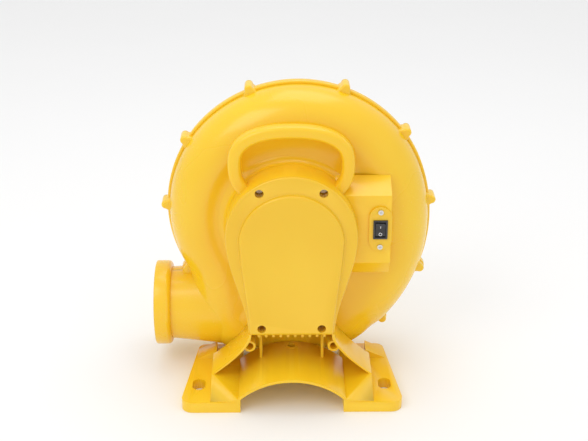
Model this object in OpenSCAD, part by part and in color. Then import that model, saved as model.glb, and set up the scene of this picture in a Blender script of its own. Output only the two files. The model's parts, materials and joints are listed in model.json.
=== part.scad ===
// Electric air blower for an inflatable: a scroll fan casing carried by a motor stand.
// Modules draw in the bench frame: X to the right, Y up, Z forward of the casing joint,
// with the fan axis at the origin.  place() sets the bench frame on the floor.

/* [Fan casing] */
// Height of the fan axis above the floor
axis_h = 185; // [182:1:225]
// Outer radius of the round part of the scroll
scroll_r = 140; // [134:1:170]
// Sideways offset of the scroll from the fan axis
scroll_off = 8; // [4:1:12]
// Radius of the swelling side of the scroll
swell_r = 178; // [172:1:215]
// Radius of the heel where the scroll turns into the outlet
heel_r = 90; // [80:1:100]
// Depth of each casing half
casing_d = 46; // [44:1:56]
// Radius of the casing shoulder
shoulder_r = 38; // [28:1:40]
// Wall thickness of the casing
casing_wall = 3; // [2:0.5:4]
// How far the joint rim stands out
rim_w = 3; // [2:0.5:5]
// Thickness of the joint rim on each half
rim_t = 4; // [3:0.5:6]
// How far a screw lug reaches past the casing
lug_reach = 9.5; // [8:0.5:12]
// Radius of a lug's round end
lug_r = 4.6; // [4.2:0.1:6]
// Thread radius of the casing screws
casing_screw_r = 1.75; // [1.5:0.05:2]

/* [Outlet] */
// Outer radius of the outlet neck
outlet_r = 40; // [34:1:42]
// Distance of the outlet axis below the fan axis
outlet_drop = 119; // [117:1:122]
// Reach of the outlet from the fan axis to its mouth
outlet_reach = 152; // [145:1:185]
// Outer radius of the outlet collar
collar_r = 47.5; // [46:0.5:56]
// Length of the outlet collar
collar_l = 18; // [14:1:24]

/* [Inlet] */
// Radius of the air inlet
inlet_r = 50; // [42:1:52]
// Radius of the inlet guard
guard_r = 64; // [62:1:72]
// Number of guard rings
guard_rings = 5; // [3:1:6]
// Thread radius of the guard screws
guard_screw_r = 1.5; // [1.2:0.1:2]

/* [Impeller] */
// Outer radius of the impeller
impeller_r = 98; // [85:1:112]
// Width of the impeller from backplate to shroud
impeller_w = 44; // [36:1:45]
// Number of blades
blades = 9; // [6:1:13]
// Thickness of blades and plates
blade_t = 2; // [1.5:0.5:3]

/* [Motor] */
// Radius of the motor shaft
shaft_r = 5; // [4:0.5:6]
// Outer radius of the stator
stator_r = 48; // [44:1:50]
// Radius of the rotor core
rotor_r = 24; // [20:1:26]
// Length of the lamination stack
stack_l = 26; // [20:1:28]
// Depth of each motor end bell
bell_d = 16; // [15:1:18]
// Outer radius of the ball bearings
bearing_r = 11; // [9:0.1:13]
// Width of the ball bearings
bearing_w = 8; // [6:0.5:10]
// Thread radius of the motor bolts
motor_bolt_r = 2; // [1.5:0.1:2]
// Radius of the motor cooling fan
cool_r = 42; // [34:1:46]

/* [Motor stand] */
// Radius of the round motor head
head_r = 69; // [67:1:75]
// Half width of the neck at the cover's lower edge
neck_w = 46; // [44:1:52]
// Distance from the casing joint to the cover seat
seat_f = 86; // [84:1:98]
// Wall thickness of the stand
stand_wall = 3; // [2:0.5:4]
// Half width of the stand across the front of its feet
foot_w = 118; // [112:1:142]
// Taper of each foot towards the back
foot_taper = 12; // [0:1:14]
// Thickness of the feet
foot_h = 12; // [10:1:14]
// Distance from the casing joint to the front of the feet
foot_f = 129; // [118:1:155]
// Half width between the inner faces of the feet
arch_w = 55; // [50:1:58]
// Height of the arch under the stand
arch_h = 36.6; // [32:0.2:40]
// Width of a stake slot
slot_w = 14; // [10:1:16]
// Length of a stake slot
slot_l = 22; // [18:1:28]
// Radius of the cover screw threads
cover_screw_r = 2; // [1.5:0.1:2.2]

/* [Motor cover] */
// Height of the cover's lower edge above the floor
cover_z = 73; // [70:1:80]
// Thickness of the cover band
band_t = 4; // [3:0.5:5]
// Width of the band round the raised panel
band_w = 13; // [11:1:15]
// How far the panel stands out of the band
panel_t = 5; // [3:0.5:8]
// Radius of the counterbores for the cover screws
cbore_r = 4.6; // [4.5:0.1:5]
// Number of vent teeth along the lower edge
teeth = 10; // [6:1:11]

/* [Handle] */
// Half width of the handle loop
handle_w = 65.5; // [60:0.5:72]
// Height of the handle top above the fan axis
handle_h = 117; // [108:1:124]
// Width of the handle bar
bar_w = 13.5; // [11:0.5:15]
// Depth of the handle bar
bar_d = 16; // [12:1:20]

/* [Switch] */
// Distance of the switch from the fan axis
switch_x = 93; // [91:0.5:95]
// Height of the switch above the fan axis
switch_y = 4; // [0:0.5:8]
// Width of the switch plate
plate_w = 24; // [22:0.5:26]
// Length of the switch plate
plate_l = 50; // [48:1:54]
// Width of the switch bezel
bezel_w = 15; // [14.5:0.1:16]
// Length of the switch bezel
bezel_l = 21; // [20:0.1:22]
// Tilt of the rocker to each side
rocker_tilt = 8; // [5:0.5:9]

/* [Hidden] */
$fn = 72;
EPS = 0.01;
swell_from = 20;        // direction where the scroll starts to swell
swell_to = -55;         // direction where the swell ends in the heel
run_fit = 0.05;         // running fit of shaft, bearings and pivots
seat_fit = 0.1;         // clearance of a piece that seats in another
move_gap = 0.6;         // least gap beside a moving piece
screw_fit = 0.25;       // clearance round a screw's thread
head_k = 1.9;           // screw head radius over thread radius
head_h = 1.2;           // screw head height over thread radius
guard_t = 3;            // thickness of the inlet guard
step = 0.3;             // each casing sector lies this far inside the one before it
lap = 2;                // degrees by which the casing sectors overlap
spot = 0.5;             // depth of the spot face under a stand screw's head
floor_y = -axis_h;

// Scroll arcs, each tangent to the next
c1 = [scroll_off, 1];
c2 = c1 + (scroll_r - swell_r) * [cos(swell_from), sin(swell_from)];
c3 = c2 + (swell_r - heel_r) * [cos(swell_to), sin(swell_to)];
heel_y = c3[1] - heel_r;
outlet_y = -outlet_drop;
neck_root = -52;        // where the round neck leaves the duct
tongue_a = 216;         // direction where the scroll meets the neck
lug_t = rim_t + 6;      // thickness of a lug on each half
lug_skin = 1.2;         // skin that closes the front of a lug
lug_dirs = [178, 145, 108, 67, 35, 3.5, -27, -53, 213];

// Hub pan behind the motor
pan_f = 17;             // front face of the pan floor
pan_r = stator_r + 6;   // inner radius of the pan
seal_r = 9;
seal_t = 5;

// Motor places along the axis
stack_f0 = pan_f + bell_d;
stack_f1 = stack_f0 + stack_l;
motor_f1 = stack_f1 + bell_d;
bell_r = stator_r + 2;
bell_wall = 2.5;
motor_pcr = stator_r - 5;  // pitch radius of the motor bolts
boss_r = bearing_r + 3;
bearing_f = [pan_f + 1.5, motor_f1 - 1.5 - bearing_w];
shaft_f0 = -27;
shaft_f1 = motor_f1 + 13;
winding_r0 = rotor_r + 4;
winding_r1 = stator_r - 10;
winding_l = 8;
cool_f = motor_f1 + 4;
cool_t = 8;
imp_f1 = 8;             // front face of the impeller backplate
imp_f0 = imp_f1 - impeller_w;
hub_f0 = imp_f1 - 26;    // rear face of the impeller hub
mount_pcr = 30;         // pitch radius of the motor mounting screws
eye_r = inlet_r + casing_wall + 3;
lip_l = casing_d + imp_f0 + 4;  // length of the inlet lip, which enters the impeller eye

// Stand and cover
head_top = 0;           // height over the axis where the neck curve ends
neck_y0 = floor_y + 70;
leg_w = 87;             // half width of the legs at their lower end
leg_y = floor_y + 24;
leg_f = seat_f + band_t;
spring_h = 15.5;        // height where the arch springs
arch_rise = arch_h - spring_h;
arch_r = (arch_w * arch_w + arch_rise * arch_rise) / (2 * arch_rise);
cover_y = floor_y + cover_z;
posts = [[-33, 51], [33, 51], [-32, cover_y + 9], [32, cover_y + 9]];
tabs = [[-33, 51], [33, 51], [-61, -8], [61, -8]];
post_r = 6;
post_f = seat_f - 12;
cover_post_r = cbore_r + 1.8;  // the cover's own posts, which seat on the stand's
post_depth = 14;
pocket_x = 45.5;        // tube bosses in the cavity under the cover
pocket_y = floor_y + 55;
slot_x = 101 + foot_w - 118;
slot_f = 91 + foot_f - 129;
roof_y = cover_y + 7;     // roof of the cavity under the cover
roof_t = 3;
rib_x = 32;
lead_r = 5;             // hole for the leads between stand and switch box
foot_back = 3;
gusset_f = 36;
panel_r = head_r - 14;  // raised panel round the motor head
panel_dy = -5;
band_run = 110;         // length over which the band narrows away
tooth_w = 3.1;
tooth_h = 4;
tooth_pitch = 2 * (neck_w - 7) / teeth;

// Handle loop
loop_y = 75;            // height of the widest part of the loop
loop_down = 50;         // reach of the loop below that height
loop_n = 2.4;
bar_f = 58;
root_y = 51;            // height where the loop ends on the motor head

// Switch box
box_x0 = 40;
box_x1 = switch_x + plate_w / 2 - 0.5;
box_f = casing_d + 26;
box_y0 = switch_y - 40;
box_y1 = switch_y + 37;
box_low = 18;           // height of the bevelled lower end
box_bevel = 14;         // depth of that bevel
box_roof = 13;          // rise of the sloping top towards the casing
plate_t = 3;
plate_f = box_f + plate_t;
plate_pitch = 39.4;
plate_screw_r = 1.45;
cell_w = bezel_w - 2.4;
cell_l = bezel_l - 2.2;
cell_d = 15;
bezel_t = 1.6;
rocker_gap = 0.45;
rocker_well = 8;
gland_x = 0;            // the crown of the arch
gland_f = casing_d + 10;  // its flange clears the back edge of the arch
gland_r = 6;
gland_bore = 4;
gland_flange = gland_r + 2.5;
gland_sag = arch_r - sqrt(arch_r * arch_r - gland_flange * gland_flange) + 0.05;
gland_y = floor_y + arch_h - gland_sag;  // top of the gland's flange, under the arch
cap_y = -78;
cap_r = 14;
strap_t = 1.5;          // thickness of the capacitor's strap
strap_r = cap_r + strap_t;
cap_f = casing_d + strap_r + (seat_f - casing_d - 2 * strap_r) * 5 / 18;  // between casing and cover
rocker_w = bezel_w - 4.8;
rocker_l = bezel_l - 4.6;
pivot_r = 1.1;
pivot_f = plate_f - 2.6;

function smooth(u) = u * u * (3 - 2 * u);
// Half width of the neck and legs at height y over the fan axis
function neck_at(y) = neck_w
    + (head_r - neck_w) * smooth(min(1, max(0, (y - neck_y0) / (head_top - neck_y0))));
function leg_at(y) = (leg_w - neck_w) * pow(max(0, neck_y0 - y) / (neck_y0 - leg_y), 1.5);
function half_w(y) = neck_at(y) + leg_at(y);
// Outline of the stand from y0 up to the head centre, moved in by w
function stand_side(y0, w, n = 28) = [for (i = [0:n])
    let (y = y0 + (head_top - y0) * i / n) [half_w(y) - w, y]];
function flip(pts) = [for (i = [len(pts) - 1:-1:0]) [-pts[i][0], pts[i][1]]];
// Superellipse of half width a, reaching up by b and down by d
function superellipse(a, b, d, n, k = 64) = [for (i = [0:k - 1])
    let (c = cos(360 * i / k), s = sin(360 * i / k))
    [a * sign(c) * pow(abs(c), 2 / n), (s > 0 ? b : -d) * pow(abs(s), 2 / n)]];

// Bench frame to the floor frame
x_left = outlet_reach;
x_right = lug_centre(lug_dirs[5])[0] + lug_r;
y_back = casing_d + guard_t + guard_screw_r * head_h;
module place() {
    translate([(x_left - x_right) / 2, (foot_f - y_back) / 2, axis_h]) rotate([90, 0, 0]) children();
}
// Rod along the bench Z from f0 to f1
module rod(x, y, f0, f1, r) {
    translate([x, y, f0]) cylinder(r = r, h = f1 - f0);
}
module tube(x, y, f0, f1, r, bore) {
    difference() {
        rod(x, y, f0, f1, r);
        rod(x, y, f0 - 1, f1 + 1, bore);
    }
}
// Solid extruded upward from a plan drawn in bench X and Z
module plan(y0, h) {
    translate([0, y0, 0]) rotate([-90, 0, 0]) linear_extrude(h) mirror([0, 1]) children();
}
module both() {
    children();
    mirror([1, 0, 0]) children();
}
// Pan head screw: the head seats at f, the thread runs towards f - length
module screw(x, y, f, length, r) {
    rod(x, y, f - length, f, r);
    difference() {
        rod(x, y, f, f + r * head_h, r * head_k);
        translate([x, y, f + r * head_h]) cube([r * 2.2, r * 0.5, r], center = true);
        translate([x, y, f + r * head_h]) cube([r * 0.5, r * 2.2, r], center = true);
    }
}

// ---- fan casing ----
// Lathe section of the casing: r is the rim radius, w moves every face inward
module casing_section(r, w) {
    d = casing_d - w;
    s = shoulder_r - w;
    square([r - w - s, d]);
    square([r - w, d - s]);
    intersection() {
        translate([r - w - s, d - s]) circle(s);
        translate([r - w - s, d - s]) square([s, s]);
    }
}
module sector(c, r, a0, a1, w) {
    translate(c) rotate([0, 0, a0]) rotate_extrude(angle = a1 - a0) casing_section(r, w);
}
// Straight duct from the heel towards the neck, with the casing's own section
module duct(w) {
    translate([c3[0] + 3, c3[1], 0]) rotate([90, 0, -90])
        linear_extrude(c3[0] + 3 - neck_root - w) casing_section(heel_r, w);
}
// Fills what the three sectors leave open between their inner corners
module wedge_plan() {
    low = c3[1] - 6;
    polygon([[c1[0] - 18, c1[1]], [c1[0] - (c1[1] - low) / tan(60) - 5, low], [c3[0] + 22, low]]);
}
module casing_solid(w) {
    intersection() {
        union() {
            sector(c1, scroll_r, swell_from - lap, 240, w);
            sector(c2, swell_r, swell_to, swell_from, w + step);
            sector(c3, heel_r, -90 - 3 * lap, swell_to + lap, w + 2 * step);
            linear_extrude(casing_d - w - 4 * step) wedge_plan();
            duct(w + 3 * step);
            translate([-outlet_reach + collar_l * 0.2 - w, outlet_y, 0]) rotate([0, 90, 0])
                cylinder(r = outlet_r - w, h = outlet_reach + neck_root - collar_l * 0.2 + w + 6);
        }
        translate([-300, -300, 0]) cube([600, 600, casing_d]);
    }
}
// Joint rim that stands out along the arcs and the duct
module rim_arc(c, r, a0, a1, w) {
    translate(c) rotate([0, 0, a0]) rotate_extrude(angle = a1 - a0)
        translate([r - 2, 0]) square([rim_w + 2 - w, rim_t - w]);
}
module rim() {
    rim_arc(c1, scroll_r, swell_from - lap, tongue_a, 0);
    rim_arc(c2, swell_r, swell_to, swell_from, step);
    rim_arc(c3, heel_r, -90 - 3 * lap, swell_to + lap, 2 * step);
    translate([neck_root, heel_y + 3 * step - rim_w, 0])
        cube([c3[0] + 3 - neck_root, rim_w + 2, rim_t - 3 * step]);
}
// Point of the casing wall in direction a from the fan axis
function rim_point(a) = let (
    u = [cos(a), sin(a)],
    swell = a > swell_to && a < swell_from,
    c = swell ? c2 : c1,
    r = swell ? swell_r : scroll_r,
    b = c * u) (b + sqrt(b * b - c * c + r * r)) * u;
function lug_centre(a) = rim_point(a) * (1 + (lug_reach - lug_r) / norm(rim_point(a)));
module lug_plan(a) {
    r = norm(lug_centre(a));
    rotate([0, 0, a]) {
        translate([r, 0]) circle(lug_r);
        polygon([[r - lug_reach - 2, -lug_r - 3], [r, -lug_r], [r, lug_r], [r - lug_reach - 2, lug_r + 3]]);
    }
}
// bore_r and bore_f: radius of the lug bores, and how far from the joint they reach
module casing_half(bore_r, bore_f) {
    difference() {
        union() {
            casing_solid(0);
            rim();
            for (a = lug_dirs) linear_extrude(lug_t) lug_plan(a);
        }
        casing_solid(casing_wall);
        for (a = lug_dirs) rod(lug_centre(a)[0], lug_centre(a)[1], -1, bore_f, bore_r);
    }
}
module front_volute() {
    color("gold") difference() {
        union() {
            casing_half(casing_screw_r, lug_t - lug_skin);
            rod(0, 0, pan_f - casing_wall, casing_d - casing_wall / 2, pan_r + casing_wall);
        }
        rod(0, 0, pan_f, casing_d + 1, pan_r);
        rod(0, 0, 0, pan_f + 1, seal_r + seat_fit);
        for (a = [45:90:315]) rotate([0, 0, a]) rod(mount_pcr, 0, 0, pan_f + 1, motor_bolt_r + screw_fit);
        for (p = tabs) {
            rod(p[0], p[1], casing_d - casing_wall - 1, casing_d + 1, cover_screw_r + screw_fit);
            rod(p[0], p[1], casing_d - casing_wall - 2, casing_d - casing_wall + spot,
                cover_screw_r * head_k + screw_fit);
        }
    }
}
module rear_volute() {
    color("gold") difference() {
        union() {
            mirror([0, 0, 1]) casing_half(casing_screw_r + screw_fit, lug_t + 1);
            rod(0, 0, -casing_d + casing_wall / 2, -casing_d + lip_l, inlet_r + casing_wall);
        }
        rod(0, 0, -casing_d - 1, -casing_d + lip_l + 1, inlet_r);
        for (a = [45:90:315]) rotate([0, 0, a])
            rod(guard_r - 4, 0, -casing_d - 1, -casing_d + casing_wall + 1, guard_screw_r);
    }
}
module casing_screws() {
    color("silver") for (a = lug_dirs) mirror([0, 0, 1])
        screw(lug_centre(a)[0], lug_centre(a)[1], lug_t, 2 * lug_t - 2 * lug_skin, casing_screw_r);
}
module outlet_collar() {
    l = collar_l;
    lip = l * 0.2;
    back = 5;
    color("gold") translate([-outlet_reach, outlet_y, 0]) rotate([0, 90, 0]) rotate_extrude() {
        polygon(concat(
            [[outlet_r - casing_wall, 0], [collar_r - 1, 0], [collar_r, 1]],
            [for (i = [0:6]) [collar_r - back + back * cos(i * 15), l - back + back * sin(i * 15)]],
            [[outlet_r + seat_fit, l], [outlet_r + seat_fit, lip], [outlet_r - casing_wall, lip]]));
    }
}
module inlet_guard() {
    wire = 2;
    pitch = (guard_r - 10) / guard_rings;
    f = -casing_d - guard_t;
    color("gold") difference() {
        union() {
            tube(0, 0, f, -casing_d, guard_r, inlet_r);
            for (i = [1:guard_rings])
                tube(0, 0, f, f + wire, (i - 0.5) * pitch + wire, (i - 0.5) * pitch);
            for (a = [0:45:135]) rotate([0, 0, a]) translate([-inlet_r - 1, -wire / 2, f])
                cube([2 * inlet_r + 2, wire, guard_t]);
        }
        for (a = [45:90:315]) rotate([0, 0, a])
            rod(guard_r - 4, 0, f - 1, -casing_d + 1, guard_screw_r + screw_fit);
    }
}
module guard_screws() {
    color("silver") for (a = [45:90:315]) rotate([0, 0, a])
        mirror([0, 0, 1]) screw(guard_r - 4, 0, casing_d + guard_t, 5.5, guard_screw_r);
}

// ---- rotor ----
module blade_plan() {
    intersection() {
        difference() {
            circle(impeller_r - 1);
            circle(eye_r + 1);
        }
        translate([62, -52]) difference() {
            circle(66 + blade_t);
            circle(66);
        }
        translate([0, 0]) square([impeller_r, impeller_r]);
    }
}
module impeller() {
    color("dimgray") difference() {
        union() {
            rod(0, 0, imp_f1 - blade_t, imp_f1, impeller_r);
            tube(0, 0, imp_f0, imp_f0 + blade_t, impeller_r, eye_r);
            rod(0, 0, hub_f0, imp_f1, 14);
            for (i = [0:blades - 1]) rotate([0, 0, 360 * i / blades]) translate([0, 0, imp_f0 + EPS])
                linear_extrude(impeller_w - EPS * 2) blade_plan();
        }
        rod(0, 0, hub_f0 - 1, imp_f1 + 1, shaft_r + run_fit);
    }
}
module impeller_nut() {
    color("silver") difference() {
        translate([0, 0, hub_f0 - 7]) cylinder(r = 9, h = 7, $fn = 6);
        rod(0, 0, hub_f0 - 8, hub_f0 + 1, shaft_r + run_fit);
    }
}
module motor_shaft() {
    color("silver") rod(0, 0, shaft_f0, shaft_f1, shaft_r);
}
module rotor_core() {
    color("slategray") union() {
        tube(0, 0, stack_f0, stack_f1, rotor_r, shaft_r + run_fit);
        tube(0, 0, stack_f0 - 3, stack_f0, rotor_r - 2, shaft_r + 5);
        tube(0, 0, stack_f1, stack_f1 + 3, rotor_r - 2, shaft_r + 5);
    }
}
module cooling_fan() {
    color("dimgray") difference() {
        union() {
            rod(0, 0, cool_f, cool_f + cool_t, 10);
            rod(0, 0, cool_f, cool_f + 1.5, cool_r);
            for (a = [0:40:320]) rotate([0, 0, a]) translate([8, -0.8, cool_f])
                cube([cool_r - 9, 1.6, cool_t]);
        }
        rod(0, 0, cool_f - 1, cool_f + cool_t + 1, shaft_r + run_fit);
    }
}

// ---- motor ----
module stator_core() {
    color("slategray") difference() {
        tube(0, 0, stack_f0, stack_f1, stator_r, rotor_r + move_gap);
        for (a = [0:20:340]) rotate([0, 0, a]) translate([rotor_r + 3.5, -1.6, stack_f0 - 1])
            cube([winding_r1 - rotor_r - 4.5, 3.2, stack_l + 2]);
        for (a = [0:90:270]) rotate([0, 0, a])
            rod(motor_pcr, 0, stack_f0 - 1, stack_f1 + 1, motor_bolt_r + screw_fit);
    }
}
module stator_windings() {
    color("chocolate") {
        tube(0, 0, stack_f0 - winding_l, stack_f0, winding_r1, winding_r0);
        tube(0, 0, stack_f1, stack_f1 + winding_l, winding_r1, winding_r0);
    }
}
// End bell with its floor at f = 0 and its open rim at f = bell_d
module end_bell(screw_pcr) {
    difference() {
        union() {
            tube(0, 0, 0, bell_d, bell_r, bell_r - bell_wall);
            rod(0, 0, 0, bell_wall, bell_r - bell_wall + EPS);
            rod(0, 0, 0, 1.5 + bearing_w, boss_r);
        }
        rod(0, 0, -1, bell_d, shaft_r + 1);
        rod(0, 0, 1.5, bell_d, bearing_r + seat_fit * 0.2);
        for (a = [0:90:270]) rotate([0, 0, a]) rod(motor_pcr, 0, -1, bell_d, motor_bolt_r + screw_fit);
        for (a = [45:90:315]) rotate([0, 0, a]) rod(screw_pcr, 0, -1, bell_d, motor_bolt_r + screw_fit);
    }
}
module rear_end_bell() {
    color("lightgray") translate([0, 0, pan_f]) end_bell(mount_pcr);
}
module front_end_bell() {
    color("lightgray") translate([0, 0, motor_f1]) mirror([0, 0, 1]) end_bell(mount_pcr);
}
module ball_bearings() {
    color("silver") for (f = bearing_f) difference() {
        tube(0, 0, f, f + bearing_w, bearing_r, shaft_r + run_fit);
        tube(0, 0, f + bearing_w - 1, f + bearing_w + 1, bearing_r - 1.8, shaft_r + 2);
        tube(0, 0, f - 1, f + 1, bearing_r - 1.8, shaft_r + 2);
    }
}
module motor_bolts() {
    color("silver") for (a = [0:90:270]) rotate([0, 0, a])
        screw(motor_pcr, 0, motor_f1, motor_f1 - pan_f - 1, motor_bolt_r);
}
module mount_screws() {
    color("silver") for (a = [45:90:315]) rotate([0, 0, a]) mirror([0, 0, 1])
        screw(mount_pcr, 0, casing_wall - pan_f, casing_wall + 5, motor_bolt_r);
}
module shaft_seal() {
    color("black") tube(0, 0, pan_f - casing_wall, pan_f, seal_r, shaft_r + 0.3);
}

// ---- stand ----
// Front outline of the stand from y0 up, moved in by w
module stand_outline(y0, w) {
    circle(head_r - w);
    polygon(concat(stand_side(y0, w), flip(stand_side(y0, w))));
}
module foot_plan() {
    back = foot_w - foot_taper;
    polygon(concat(
        [[arch_w, foot_back], [arch_w, foot_f]],
        [for (i = [0:8]) [foot_w - 12 + 12 * sin(i * 11.25), foot_f - 12 + 12 * cos(i * 11.25)]],
        [for (i = [0:8]) [back - 10 + 10 * cos(i * 11.25), foot_back + 10 - 10 * sin(i * 11.25)]]));
}
module slot_plan() {
    for (s = [-1, 1]) translate([slot_x, slot_f + s * (slot_l - slot_w) / 2]) circle(slot_w / 2);
    translate([slot_x - slot_w / 2, slot_f - (slot_l - slot_w) / 2]) square([slot_w, slot_l - slot_w]);
}
module foot() {
    top = floor_y + foot_h;
    difference() {
        union() {
            plan(floor_y, foot_h) foot_plan();
            hull() {
                translate([leg_w - 3, top - 1, casing_d]) cube([3, leg_y - top + 1, leg_f - casing_d]);
                translate([arch_w, top - 1, casing_d]) cube([3, spring_h - foot_h + 1, foot_f - casing_d]);
                translate([leg_w - 3, top - 1, foot_f - 8]) cube([3, 1, 6]);
            }
            translate([0, top - EPS, 14]) linear_extrude(gusset_f - 14)
                polygon([[leg_w - 3, 0], [foot_w - 12, 0], [leg_w - 3, leg_y - top - 2]]);
        }
        translate([0, floor_y - 1, 0]) plan(0, foot_h + 2) slot_plan();
    }
}
module arch_floor() {
    translate([0, floor_y + arch_h - arch_r, casing_d]) linear_extrude(foot_f - casing_d) intersection() {
        difference() {
            circle(arch_r + stand_wall);
            circle(arch_r);
        }
        translate([-arch_w - 2, arch_r - arch_rise - 2]) square([2 * arch_w + 4, arch_rise + 10]);
    }
}
module motor_stand() {
    color("gold") difference() {
        union() {
            translate([0, 0, casing_d]) linear_extrude(seat_f - casing_d) difference() {
                stand_outline(leg_y, 0);
                stand_outline(leg_y - 5, stand_wall);
            }
            translate([0, 0, seat_f - EPS]) linear_extrude(leg_f - seat_f) difference() {
                stand_outline(leg_y, 0);
                stand_outline(leg_y - 5, stand_wall);
                translate([-head_r - 9, cover_y]) square([2 * head_r + 18, head_r - cover_y + 9]);
            }
            both() foot();
            arch_floor();
            intersection() {
                translate([0, 0, casing_d]) linear_extrude(seat_f - casing_d) stand_outline(leg_y, 1);
                union() {
                    for (p = posts) rod(p[0], p[1], casing_d, post_f, post_r);
                    for (p = tabs) rod(p[0], p[1], casing_d, casing_d + 6, post_r);
                    both() rod(pocket_x, pocket_y, casing_d, seat_f - 2, 6.5);
                    both() translate([rib_x, floor_y + arch_h - 4, casing_d + 10])
                        cube([stand_wall, roof_y - floor_y - arch_h + 5, 14]);
                    translate([-head_r, roof_y, casing_d]) cube([2 * head_r, roof_t, post_f - casing_d]);
                }
            }
        }
        for (p = posts) {
            rod(p[0], p[1], post_f - 10, post_f + 1, cover_screw_r);
            rod(p[0], p[1], post_f, seat_f + 1, cover_post_r + seat_fit);
        }
        for (p = tabs) rod(p[0], p[1], casing_d - 1, casing_d + 9, cover_screw_r);
        both() rod(pocket_x, pocket_y, casing_d + 8, seat_f, 4.2);
        translate([0, switch_y - 20, box_f - 12]) rotate([0, 90, 0]) cylinder(r = lead_r, h = head_r + 5);
        translate([gland_x, roof_y + roof_t + 1, gland_f]) rotate([90, 0, 0])
            cylinder(r = lead_r, h = roof_t + 2);
        translate([gland_x, floor_y + arch_h + stand_wall + 1, gland_f]) rotate([90, 0, 0])
            cylinder(r = gland_r + seat_fit, h = stand_wall + 3);
    }
}

// ---- cover ----
// Outline of the raised panel: the band narrows to nothing at the lower edge
function panel_side(w, n = 24) = [for (i = [0:n])
    let (y = cover_y + (panel_dy - cover_y) * i / n, band = band_w * smooth(min(1, (y - cover_y) / band_run)))
    [half_w(y) - band - 1.5 - w, y]];
module panel_outline(w) {
    translate([0, panel_dy]) circle(panel_r - w);
    polygon(concat(panel_side(w), flip(panel_side(w))));
}
module motor_cover() {
    f0 = seat_f;
    f1 = f0 + band_t;
    color("gold") difference() {
        union() {
            translate([0, 0, f0]) linear_extrude(band_t) stand_outline(cover_y, 0);
            translate([0, 0, f1 - EPS]) linear_extrude(panel_t) panel_outline(0);
            for (p = posts) rod(p[0], p[1], post_f, f1, cover_post_r);
            for (i = [0:teeth - 1])
                translate([(i - (teeth - 1) / 2) * tooth_pitch - tooth_w / 2, cover_y - tooth_h, f0])
                    cube([tooth_w, tooth_h + 1, band_t]);
        }
        translate([0, 0, f0 - 1]) linear_extrude(panel_t + band_t + 1 - stand_wall) difference() {
            intersection() {
                panel_outline(stand_wall);
                translate([-head_r, cover_y + stand_wall]) square([2 * head_r, 2 * head_r + 99]);
            }
            for (p = posts) translate(p) circle(cover_post_r);
        }
        for (p = posts) {
            rod(p[0], p[1], post_f - 1, f1 + panel_t + 1, cover_screw_r + screw_fit);
            rod(p[0], p[1], post_f + 2.5, f1 + panel_t + 1, cbore_r);
        }
    }
}

// ---- handle ----
module loop_plan(w) {
    up = handle_h - loop_y;
    difference() {
        polygon(superellipse(handle_w - w, up - w, loop_down - w, loop_n));
        polygon(superellipse(handle_w - bar_w + w, up - bar_w + w, loop_down - bar_w + w, loop_n));
    }
}
module carry_handle() {
    edge = 3;
    color("gold") difference() {
        translate([0, loop_y, bar_f]) union() {
            linear_extrude(bar_d) loop_plan(edge * 0.4);
            translate([0, 0, edge]) linear_extrude(bar_d - 2 * edge) loop_plan(0);
        }
        rod(0, 0, bar_f - 1, bar_f + bar_d + 1, head_r);
        translate([-handle_w - 1, root_y - loop_down, bar_f - 1])
            cube([2 * handle_w + 2, loop_down, bar_d + 2]);
    }
}

// ---- switch ----
module box_profile(w) {
    back = casing_d - w * 3;
    low = box_y0 - box_low + w;
    polygon([[back, low], [box_f - box_bevel - w, low], [box_f - w, box_y0 + w],
        [box_f - w, box_y1 - w], [back, box_y1 + box_roof - w]]);
}
module switch_box() {
    color("gold") difference() {
        translate([box_x0, 0, 0]) rotate([0, -90, 0]) mirror([0, 0, 1])
            linear_extrude(box_x1 - box_x0) box_profile(0);
        translate([box_x0 - 1, 0, 0]) rotate([0, -90, 0]) mirror([0, 0, 1])
            linear_extrude(box_x1 - box_x0 - 1.5) box_profile(2.5);
        translate([0, 0, casing_d - 1]) linear_extrude(box_f - casing_d + 2)
            stand_outline(cover_y, 0);
        translate([switch_x - cell_w / 2 - seat_fit, switch_y - cell_l / 2 - seat_fit, box_f - 4])
            cube([cell_w + 2 * seat_fit, cell_l + 2 * seat_fit, 6]);
        for (s = [-1, 1]) rod(switch_x, switch_y + s * plate_pitch / 2, box_f - 4, box_f + 1, plate_screw_r);
    }
}
module switch_plate() {
    c = (plate_l - plate_w) / 2;
    color("gold") translate([switch_x, switch_y, box_f]) difference() {
        linear_extrude(plate_t) difference() {
            union() {
                for (s = [-1, 1]) translate([0, s * c]) circle(plate_w / 2);
                square([plate_w, 2 * c], center = true);
            }
            square([cell_w + 2 * seat_fit, cell_l + 2 * seat_fit], center = true);
        }
        for (s = [-1, 1]) rod(0, s * plate_pitch / 2, -1, plate_t + 1, plate_screw_r + screw_fit);
    }
}
module plate_screws() {
    color("silver") for (s = [-1, 1])
        screw(switch_x, switch_y + s * plate_pitch / 2, plate_f, plate_t + 2.2, plate_screw_r);
}
module switch_body() {
    w = rocker_w + 2 * rocker_gap;
    l = rocker_l + 2 * rocker_gap;
    color("black") difference() {
        union() {
            translate([switch_x, switch_y, plate_f + bezel_t / 2])
                cube([bezel_w, bezel_l, bezel_t], center = true);
            translate([switch_x, switch_y, plate_f - cell_d / 2 + EPS])
                cube([cell_w, cell_l, cell_d], center = true);
        }
        translate([switch_x - w / 2, switch_y - l / 2, plate_f - rocker_well])
            cube([w, l, rocker_well + bezel_t + 1]);
        translate([switch_x - cell_w / 2 - 1, switch_y, pivot_f]) rotate([0, 90, 0])
            cylinder(r = pivot_r + run_fit, h = cell_w + 2);
    }
}
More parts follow.
